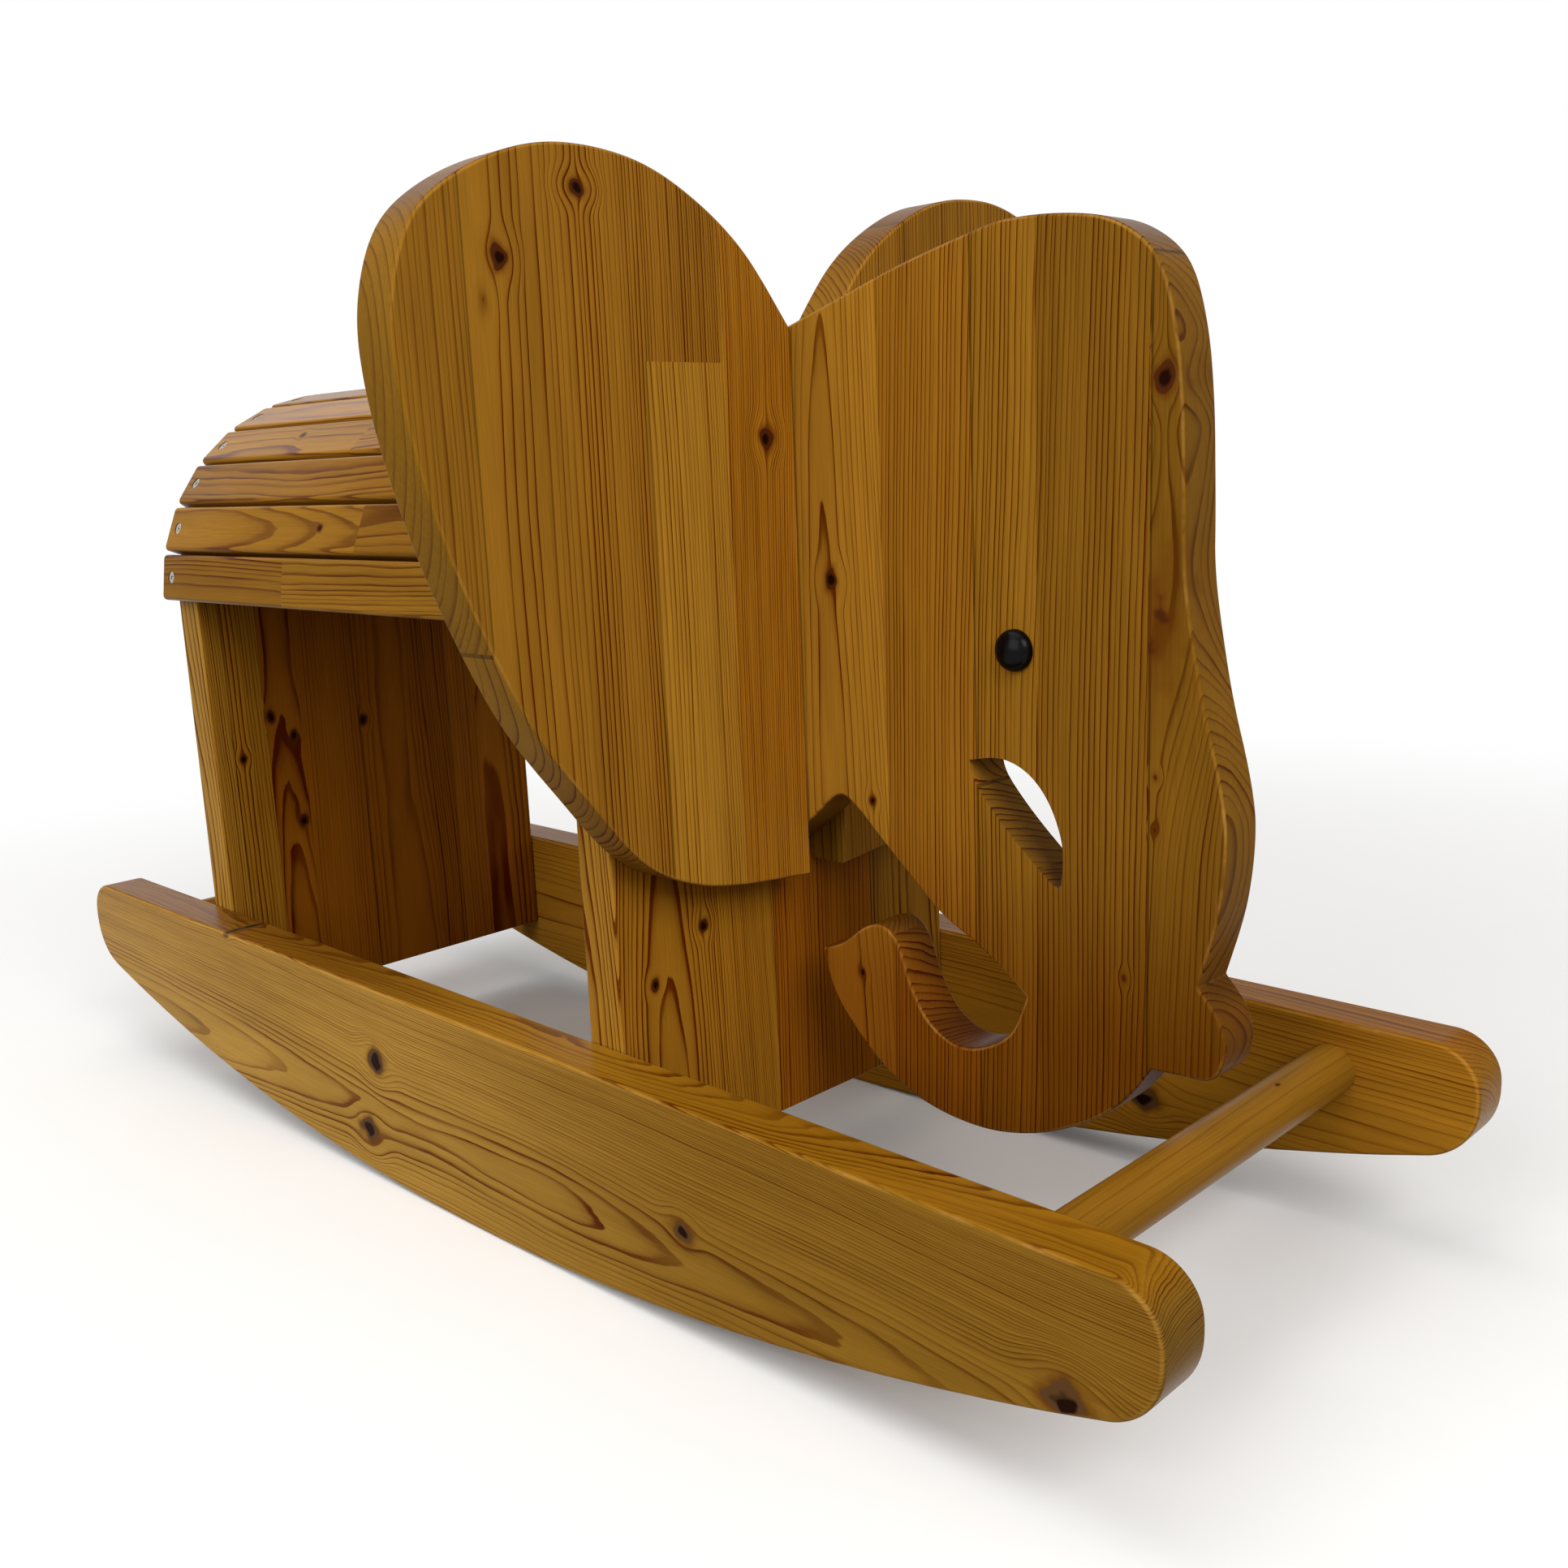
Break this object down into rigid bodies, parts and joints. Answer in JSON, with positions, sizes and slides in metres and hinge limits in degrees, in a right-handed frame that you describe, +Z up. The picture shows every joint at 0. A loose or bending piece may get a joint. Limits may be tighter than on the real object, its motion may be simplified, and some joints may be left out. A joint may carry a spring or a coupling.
{
  "type": "rocking elephant",
  "caption": "Wooden rocking elephant for a small child: curved rockers, slatted saddle on leg panels, flat head with curled trunk, two broad ears.",
  "frame": {"origin": "on the floor, half-way along and across the toy's bounding box, in the pose in which it stands by itself", "axes": "+X forward to the trunk, +Y to the elephant's left, +Z up"},
  "size_m": [0.868, 0.4612, 0.5178],
  "materials": {
    "rocker_pine": "clear-lacquered pine, satin",
    "panel_pine": "clear-lacquered edge-glued pine, satin",
    "head_pine": "clear-lacquered edge-glued pine, satin",
    "slat_pine": "clear-lacquered pine slats, satin",
    "bar_pine": "clear-lacquered turned pine, satin",
    "dowel_beech": "raw beech",
    "screw_steel": "zinc-plated steel",
    "eye_black": "black, half gloss"
  },
  "bodies": {
    "root": {"right_rocker": "rocker_pine", "right_ear": "head_pine", "right_eye": "eye_black", "right_front_dowel": "dowel_beech", "right_rear_dowel": "dowel_beech", "right_ear_lower_screw": "screw_steel", "right_ear_upper_screw": "screw_steel", "left_rocker": "rocker_pine", "left_ear": "head_pine", "left_eye": "eye_black", "left_front_dowel": "dowel_beech", "left_rear_dowel": "dowel_beech", "left_ear_lower_screw": "screw_steel", "left_ear_upper_screw": "screw_steel", "front_crossbar": "bar_pine", "front_leg_panel": "panel_pine", "rear_crossbar": "bar_pine", "rear_leg_panel": "panel_pine", "head_plate": "head_pine", "head_lower_screw": "screw_steel", "head_upper_screw": "screw_steel", "seat_slat_01": "slat_pine", "front_slat_screw_01": "screw_steel", "rear_slat_screw_01": "screw_steel", "seat_slat_02": "slat_pine", "front_slat_screw_02": "screw_steel", "rear_slat_screw_02": "screw_steel", "seat_slat_03": "slat_pine", "front_slat_screw_03": "screw_steel", "rear_slat_screw_03": "screw_steel", "seat_slat_04": "slat_pine", "front_slat_screw_04": "screw_steel", "rear_slat_screw_04": "screw_steel", "seat_slat_05": "slat_pine", "front_slat_screw_05": "screw_steel", "rear_slat_screw_05": "screw_steel", "seat_slat_06": "slat_pine", "front_slat_screw_06": "screw_steel", "rear_slat_screw_06": "screw_steel", "seat_slat_07": "slat_pine", "front_slat_screw_07": "screw_steel", "rear_slat_screw_07": "screw_steel", "seat_slat_08": "slat_pine", "front_slat_screw_08": "screw_steel", "rear_slat_screw_08": "screw_steel", "seat_slat_09": "slat_pine", "front_slat_screw_09": "screw_steel", "rear_slat_screw_09": "screw_steel", "seat_slat_10": "slat_pine", "front_slat_screw_10": "screw_steel", "rear_slat_screw_10": "screw_steel", "seat_slat_11": "slat_pine", "front_slat_screw_11": "screw_steel", "rear_slat_screw_11": "screw_steel", "seat_slat_12": "slat_pine", "front_slat_screw_12": "screw_steel", "rear_slat_screw_12": "screw_steel", "seat_slat_13": "slat_pine", "front_slat_screw_13": "screw_steel", "rear_slat_screw_13": "screw_steel"}
  },
  "joints": []
}
